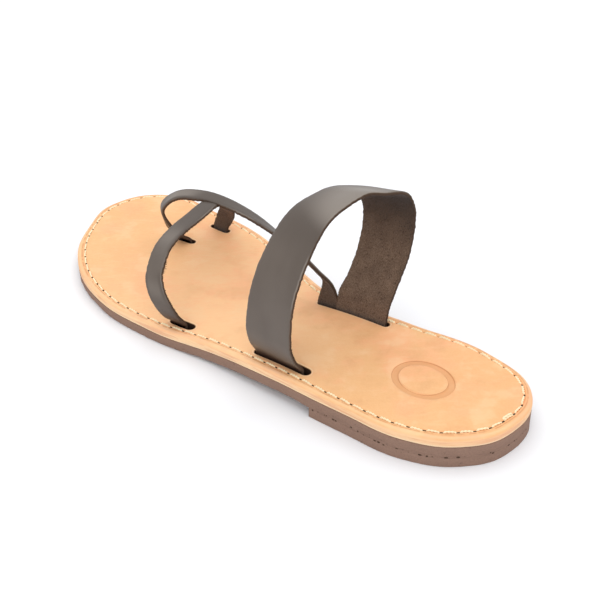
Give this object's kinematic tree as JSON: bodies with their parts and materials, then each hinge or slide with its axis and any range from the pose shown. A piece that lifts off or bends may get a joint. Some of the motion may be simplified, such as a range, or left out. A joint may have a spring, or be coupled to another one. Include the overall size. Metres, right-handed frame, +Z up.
{
  "type": "leather sandal",
  "caption": "Flat leather slide sandal for the left foot: tan footbed on a brown rubber sole with a low heel, a wide instep strap and crossing narrow toe straps.",
  "frame": {"origin": "on the floor under the middle of the sandal, midway along and across its box", "axes": "+Y points to the toe, +X to the inner side of the foot (the big toe's side), +Z up"},
  "size_m": [0.0908, 0.255, 0.0826],
  "materials": {
    "tan_leather": "natural vegetable tanned, satin",
    "taupe_leather": "smooth grain outside, bare suede inside, satin",
    "brown_rubber": "matte"
  },
  "bodies": {
    "root": {"insole": "tan_leather", "outsole": "brown_rubber", "heel_lift": "brown_rubber", "instep_strap": "taupe_leather", "toe_straps": "taupe_leather"}
  },
  "joints": []
}
